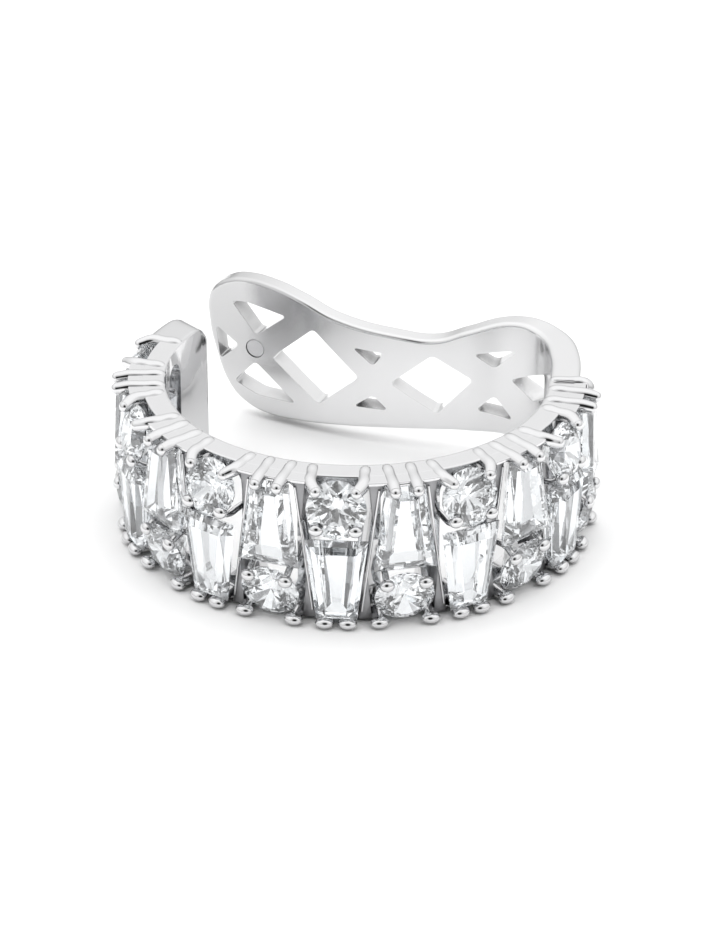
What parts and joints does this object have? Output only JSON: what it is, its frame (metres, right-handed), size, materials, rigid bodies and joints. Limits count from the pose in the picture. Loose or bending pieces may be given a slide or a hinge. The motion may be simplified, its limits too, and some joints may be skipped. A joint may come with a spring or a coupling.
{
  "type": "ear cuff",
  "caption": "Ear cuff: open ring set with round and tapered baguette stones in front, a pierced lattice plate behind",
  "frame": {"origin": "middle of the cuff's box, on the surface that it lies on", "axes": "+Z along the ring's axis, upwards as it lies; -Y towards the stones at the front of the ring; +X to the side where the lattice plate joins"},
  "size_m": [0.013, 0.0124, 0.0043],
  "materials": {
    "white_metal": "rhodium-plated silver, mirror polished",
    "clear_stone": "colourless faceted cubic zirconia"
  },
  "bodies": {
    "root": {"cuff_frame": "white_metal", "round_stone_01": "clear_stone", "baguette_stone_01": "clear_stone", "round_stone_02": "clear_stone", "baguette_stone_02": "clear_stone", "round_stone_03": "clear_stone", "baguette_stone_03": "clear_stone", "round_stone_04": "clear_stone", "baguette_stone_04": "clear_stone", "round_stone_05": "clear_stone", "baguette_stone_05": "clear_stone", "round_stone_06": "clear_stone", "baguette_stone_06": "clear_stone", "round_stone_07": "clear_stone", "baguette_stone_07": "clear_stone", "round_stone_08": "clear_stone", "baguette_stone_08": "clear_stone", "round_stone_09": "clear_stone", "baguette_stone_09": "clear_stone", "round_stone_10": "clear_stone", "baguette_stone_10": "clear_stone", "round_stone_11": "clear_stone", "baguette_stone_11": "clear_stone", "round_stone_12": "clear_stone", "baguette_stone_12": "clear_stone"}
  },
  "joints": []
}
